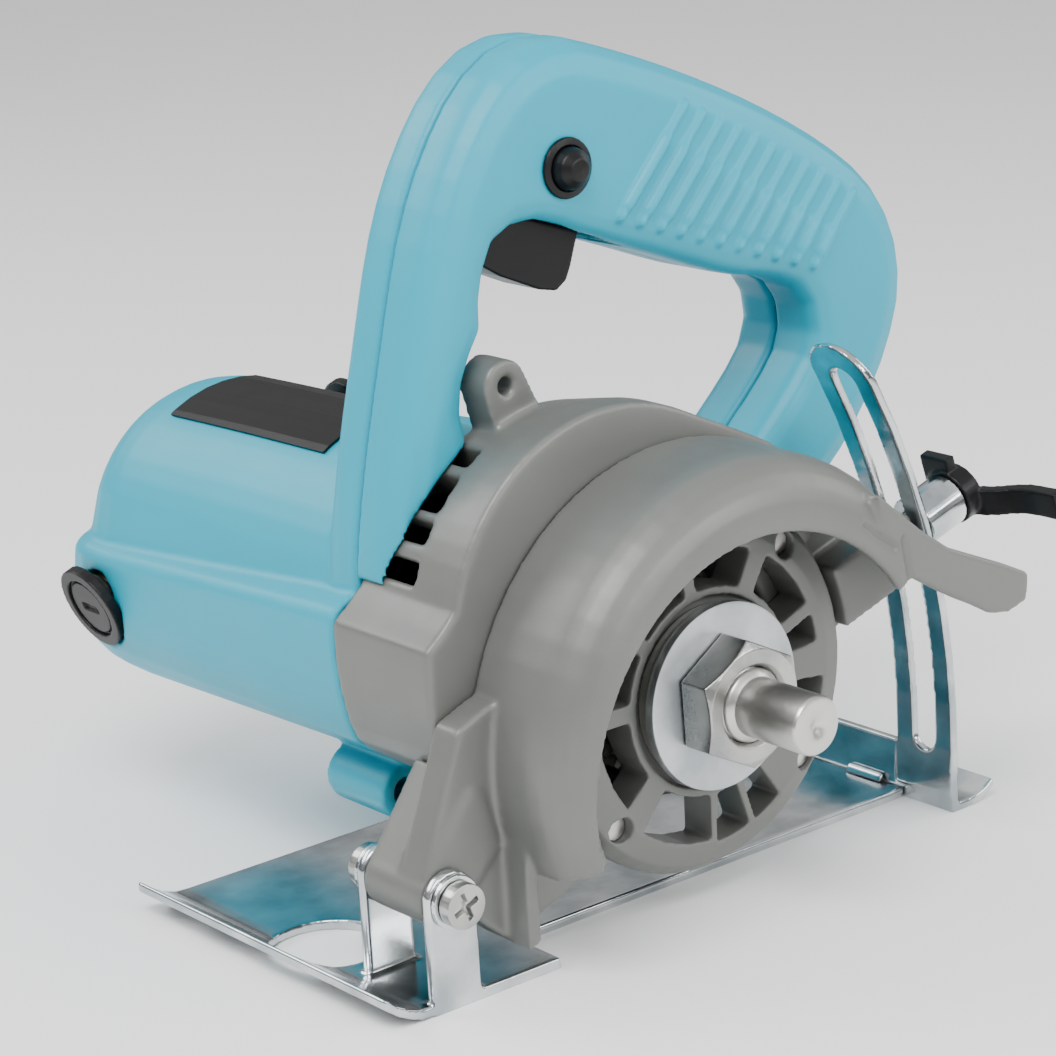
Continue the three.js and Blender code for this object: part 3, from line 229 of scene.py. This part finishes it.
def copy_of(node):
    """The node's solid as a bmesh, with the vertices that the file keeps apart for shading joined again."""
    solid = bmesh.new()
    solid.from_mesh(frame["nodes"][node].data)
    bmesh.ops.remove_doubles(solid, verts=solid.verts, dist=1e-6)
    return solid


def finish_piece(name, mesh, material, body, node, sharp_angle=None):
    """Paints a mesh and hangs it on its body in place of a CAD node; edges past the angle stay sharp."""
    mesh.materials.clear()
    mesh.materials.append(material)
    for face in mesh.polygons:
        face.use_smooth = True
    if sharp_angle:
        mesh.set_sharp_from_angle(angle=math.radians(sharp_angle))
    piece = bpy.data.objects.new(name, mesh)
    bpy.context.collection.objects.link(piece)
    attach(piece, body)
    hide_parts(node)


def softened(name, solid, voxel, passes, keep=1.0):
    """Rounds every edge of a solid as moulding or casting does.

    The solid gets an even skin of faces (voxel, mm), which is smoothed and may then be thinned to a share.
    """
    mesh = bpy.data.meshes.new(name)
    solid.to_mesh(mesh)
    solid.free()
    blank = bpy.data.objects.new(name, mesh)
    bpy.context.collection.objects.link(blank)
    skin = blank.modifiers.new("skin", "REMESH")
    skin.mode = "VOXEL"
    skin.voxel_size = voxel * MM
    soft = blank.modifiers.new("soft", "SMOOTH")
    soft.factor, soft.iterations = 0.5, passes
    if keep < 1:
        fewer = blank.modifiers.new("fewer", "DECIMATE")
        fewer.ratio = keep
    graph = bpy.context.evaluated_depsgraph_get()
    result = bpy.data.meshes.new_from_object(blank.evaluated_get(graph))
    bpy.data.objects.remove(blank)
    result.name = name
    return result


FACING = 0.5  # the least lean of a face towards the blade side for a stroke to show on it


def soften_node(node, name, voxel, passes, material, body, keep=1.0):
    finish_piece(name, softened(name, copy_of(node), voxel, passes, keep), material, body, node)


def emboss(mesh, strokes, width, height):
    """Raises soft ridges, or sinks them if height is negative, on the blade side of a piece.

    Each stroke is [(u, w), (u, w)]; width and height are in millimetres.
    """
    count = len(mesh.vertices)
    points = np.empty(count * 3)
    normals = np.empty(count * 3)
    mesh.vertices.foreach_get("co", points)
    mesh.vertex_normals.foreach_get("vector", normals)
    points, normals = points.reshape(-1, 3), normals.reshape(-1, 3)
    back = np.array(TOOL.inverted())
    local = points @ back[:3, :3].T + back[:3, 3]
    flat = local[:, [0, 2]]
    nearest = np.full(count, 1e9)
    for start, end in strokes:
        a, b = np.array(start, float), np.array(end, float)
        along = np.clip(((flat - a) @ (b - a)) / ((b - a) @ (b - a)), 0, 1)
        nearest = np.minimum(nearest, np.linalg.norm(flat - (a + along[:, None] * (b - a)), axis=1))
    rise = np.clip(1 - nearest / (width / 2), 0, 1)
    rise = rise * rise * (3 - 2 * rise) * height * MM
    rise[normals[:, 1] > -FACING] = 0
    points += normals * rise[:, None]
    mesh.vertices.foreach_set("co", points.reshape(-1))
    mesh.update()


turquoise = turquoise_plastic()
soften_node("motor_housing", "motor_housing_moulding", 0.8, 10, turquoise, "tool_body")

# The grip ribs cross the near half of the handle in one slanting row, each with a knob at its lower end.
GRIP_RIBS = 11
RIB_WIDTH, RIB_HEIGHT = 3.4, 1.0
KNOB_WIDTH, KNOB_HEIGHT = 4.6, 0.4
cover_mesh = softened("handle_cover_moulding", copy_of("handle_cover"), 0.7, 10)
ribs = []
for i in range(GRIP_RIBS):
    t = i / (GRIP_RIBS - 1)
    ribs.append([(42.4 + 49.4 * t, 97.3 - 41.7 * t), (70.5 + 39.9 * t, 111.4 - 46 * t)])
knobs = [[(u, w), (u + 0.01, w)] for (u, w), _ in ribs]
emboss(cover_mesh, ribs, RIB_WIDTH, RIB_HEIGHT)
emboss(cover_mesh, knobs, KNOB_WIDTH, KNOB_HEIGHT)
finish_piece("handle_cover_moulding", cover_mesh, turquoise, "tool_body", "handle_cover")

# ---------------------------------------------------------------- grey castings
# The gear housing, the blade guard with its hinge arm, and the bearing box that closes the gear room.
# All three are pressure die castings, tumbled and sprayed with a thin satin grey paint.
GREY = (0.16, 0.166, 0.155)


def cast_grey():
    paint = Paint("cast_grey", Metallic=0.25, Specular_IOR_Level=0.5)
    cloud = paint.noise(35, 4)
    shaded = (GREY[0] * 0.9, GREY[1] * 0.9, GREY[2] * 0.9)
    paint.set(
        Base_Color=paint.mix(paint.ramp(cloud, 0.3, 0.7), shaded, GREY),
        Roughness=0.36 + paint.noise(90, 3) * 0.14,
    )
    return paint.bump(paint.noise(1500, 3) + paint.noise(240, 2) * 0.8, 0.00008, 0.3).material


grey = cast_grey()

# Two short grooves are sunk in the guard's flank.
GROOVES = [[(39.8, 25.5), (45.8, 15.2)], [(48.7, 15.8), (47.3, 5.8)]]
GROOVE_WIDTH, GROOVE_DEPTH = 2.6, 0.9
guard_mesh = softened("blade_guard_casting", copy_of("blade_guard"), 0.7, 8)
emboss(guard_mesh, GROOVES, GROOVE_WIDTH, -GROOVE_DEPTH)
finish_piece("blade_guard_casting", guard_mesh, grey, "tool_body", "blade_guard")
soften_node("gear_housing", "gear_housing_casting", 0.8, 7, grey, "tool_body")
soften_node("bearing_box", "bearing_box_casting", 0.5, 4, grey, "tool_body")

# ---------------------------------------------------------------- zinc-plated base
# The sole plate and the depth bracket are pressed from sheet steel and zinc plated, so their edges are
# softly rounded and the faces keep faint rolling marks; their dark and bright patches are partly the
# plating's own cloudiness and partly painted reflection.


def zinc_cloud_and_painted_reflection(name, low, high, roughness):
    """Bare metal, mottled between two tints, partly the plating's own cloudiness and partly painted
    reflection, with faint marks drawn out along the sheet.
    """
    paint = Paint(name, Metallic=1.0)
    cloud = paint.noise(55, 5)
    streak = paint.noise(900, 2, stretch=(0.06, 1, 1))
    # Painted reflection: the cloud swaps the metal's colour between a dark and a bright tint, standing in
    # for dark and bright surroundings seen in it, together with the plating's own cloudiness.
    tint = paint.mix(paint.ramp(cloud, 0.35, 0.65), low, high)
    paint.set(Base_Color=tint, Roughness=roughness + cloud * 0.12 + streak * 0.06)
    return paint.bump(streak + paint.noise(1300, 2) * 0.4, 0.00003, 0.3).material


# The plate's dark tint is painted reflection of a dark surround and its bright tint painted reflection of
# bright streaks, mixed with the plating's real cloudiness.
zinc_with_painted_reflection = zinc_cloud_and_painted_reflection("zinc_cloud_and_painted_reflection", (0.36, 0.40, 0.42), (0.74, 0.76, 0.77), 0.1)
soften_node("sole_plate", "sole_plate_pressing", 0.6, 3, zinc_with_painted_reflection, "base", 0.5)
soften_node("depth_bracket", "depth_bracket_pressing", 0.45, 4, zinc_with_painted_reflection, "base")
for i in (1, 2, 3):
    soften_node(f"weld_bead_{i}", f"weld_bead_{i}_run", 0.4, 6, zinc_with_painted_reflection, "base")

# ---------------------------------------------------------------- bought-in and inner parts
# Screws, bearings, gears, windings, brushes, the switch and the label keep their CAD solids and get only
# the finish that the record names for each of them.
steel_paint = Paint("machined_steel", Metallic=1.0)
rings = steel_paint.noise(1500, 2, stretch=(0.15, 1, 1))
steel_paint.set(Base_Color=(0.62, 0.61, 0.59), Roughness=0.24 + rings * 0.16)
steel = steel_paint.bump(rings, 0.00002, 0.35).material

black_paint = Paint("black_plastic", Specular_IOR_Level=0.25)
black_paint.set(Base_Color=(0.004, 0.004, 0.0045), Roughness=0.3 + black_paint.noise(80, 3) * 0.14)
black = black_paint.bump(black_paint.noise(2400, 2), 0.00005, 0.35).material

brass_paint = Paint("brass", Metallic=1.0, Base_Color=(0.72, 0.53, 0.22))
brass = brass_paint.set(Roughness=0.3 + brass_paint.noise(200, 3) * 0.2).material
copper_paint = Paint("copper", Metallic=1.0, Base_Color=(0.72, 0.40, 0.22))
copper = copper_paint.set(Roughness=0.3 + copper_paint.noise(200, 3) * 0.2).material
carbon_paint = Paint("carbon", Base_Color=(0.03, 0.03, 0.032))
carbon = carbon_paint.set(Roughness=0.6 + carbon_paint.noise(500, 3) * 0.2).material
label_paint = Paint("label_film", Base_Color=(0.003, 0.003, 0.0035), Specular_IOR_Level=0.25)
label = label_paint.set(Roughness=0.3 + label_paint.noise(120, 3) * 0.1).material

finishes = {
    "zinc_plate": zinc_with_painted_reflection, "machined_steel": steel, "black_plastic": black, "brass": brass, "copper": copper,
    "carbon": carbon, "label": label, "turquoise_plastic": turquoise, "cast_grey": grey,
}
for entry in frame["record"]["subparts"]:
    node = frame["nodes"][entry["node"]]
    if node.hide_render:  # a piece above already stands in for it
        continue
    node.data.materials.clear()
    node.data.materials.append(finishes[entry["material_slot"]])

# ---------------------------------------------------------------- spindle nose
# The bare shaft, the nut and the flange stand in front of the bearing box. The shaft is ground, with a
# centre dimple and a fine thread;
# the flange is plated and dull, and the nut gets darker tints than the flange.
TURNED_SIDES = 160
TURNED_SHARP_ANGLE = 40
SHAFT_RADIUS = 7
THREAD_RADIUS, THREAD_ROOT, THREAD_PITCH, THREAD_TURNS = 8.7, 8.15, 0.75, 12
FLANGE_FRONT, FLANGE_BACK = -50.7, -47.7


def turned_mesh(name, profile):
    """A closed outline of (radius, y) in tool millimetres, turned about the spindle."""
    made = bmesh.new()
    rings = []
    for radius, y in profile:
        ring = []
        for i in range(TURNED_SIDES):
            a = 2 * math.pi * i / TURNED_SIDES
            ring.append(made.verts.new(TOOL @ Vector((radius * math.cos(a), y, radius * math.sin(a)))))
        rings.append(ring)
    for ring, following in zip(rings, rings[1:] + rings[:1]):
        for i in range(TURNED_SIDES):
            beside = (i + 1) % TURNED_SIDES
            made.faces.new((ring[i], ring[beside], following[beside], following[i]))
    bmesh.ops.recalc_face_normals(made, faces=made.faces)
    mesh = bpy.data.meshes.new(name)
    made.to_mesh(mesh)
    made.free()
    return mesh


shaft_profile = [
    (0.05, -79.7), (1.5, -79.9), (2.3, -80.5), (5.9, -80.5), (6.6, -80.3), (SHAFT_RADIUS, -79.6),
    (SHAFT_RADIUS, -61.2), (7.2, -61), (8.3, -60.4), (THREAD_RADIUS, -59.6),
]
for k in range(THREAD_TURNS):
    y = -59.4 + k * THREAD_PITCH
    shaft_profile += [(THREAD_RADIUS, y), (THREAD_ROOT, y + 0.37)]
shaft_profile += [
    (THREAD_RADIUS, -50), (THREAD_RADIUS, -43.9), (7.4, -43.7), (7.4, -20.2),
    (5, -20), (5, -13.6), (0.05, -13.6),
]
finish_piece("spindle_shaft_turned", turned_mesh("spindle_shaft_turned", shaft_profile), steel, "spindle",
             "spindle_shaft", TURNED_SHARP_ANGLE)
dull_zinc = zinc_cloud_and_painted_reflection("dull_zinc", (0.40, 0.43, 0.45), (0.62, 0.65, 0.66), 0.3)
flange_profile = [
    (9, -50.5), (9.2, FLANGE_FRONT), (21.4, FLANGE_FRONT), (22.1, -50.5), (22.3, -50),
    (22.3, -48.4), (22.1, -47.9), (21.6, FLANGE_BACK), (9.2, FLANGE_BACK), (9, -47.9),
]
finish_piece("outer_flange_turned", turned_mesh("outer_flange_turned", flange_profile), dull_zinc, "spindle",
             "outer_flange", TURNED_SHARP_ANGLE)
nut_zinc = zinc_cloud_and_painted_reflection("nut_zinc", (0.26, 0.27, 0.27), (0.50, 0.50, 0.48), 0.2)
soften_node("spindle_nut", "spindle_nut_forged", 0.28, 2, nut_zinc, "spindle", 0.6)

# ---------------------------------------------------------------- controls and fasteners
# Small pieces with their edges broken: the trigger, the lock button and its bezel, the clamp's lever, collar
# and stud, the hinge screws with their washers, and the brush caps. Each row gives the node, its body, its
# paint, the size of its skin's faces in millimetres and the number of smoothing passes.
SMALL = [
    ("trigger", "trigger", black, 0.35, 8), ("lock_button", "lock_button", black, 0.22, 8),
    ("lock_bezel", "tool_body", black, 0.16, 3), ("clamp_lever", "clamp_lever", black, 0.35, 6),
    ("brush_cap_front", "tool_body", black, 0.28, 3), ("brush_cap_rear", "tool_body", black, 0.28, 3),
    ("pivot_screw_near", "tool_body", nut_zinc, 0.2, 4), ("pivot_screw_far", "tool_body", nut_zinc, 0.2, 4),
    ("pivot_screw_near_washer", "tool_body", zinc_with_painted_reflection, 0.2, 3),
    ("pivot_screw_far_washer", "tool_body", zinc_with_painted_reflection, 0.2, 3),
    ("clamp_collar", "tool_body", zinc_with_painted_reflection, 0.25, 6), ("clamp_stud", "tool_body", zinc_with_painted_reflection, 0.25, 5),
]
SMALL_KEEP = 0.5
for node, body, paint, voxel, passes in SMALL:
    soften_node(node, f"{node}_finished", voxel, passes, paint, body, SMALL_KEEP)
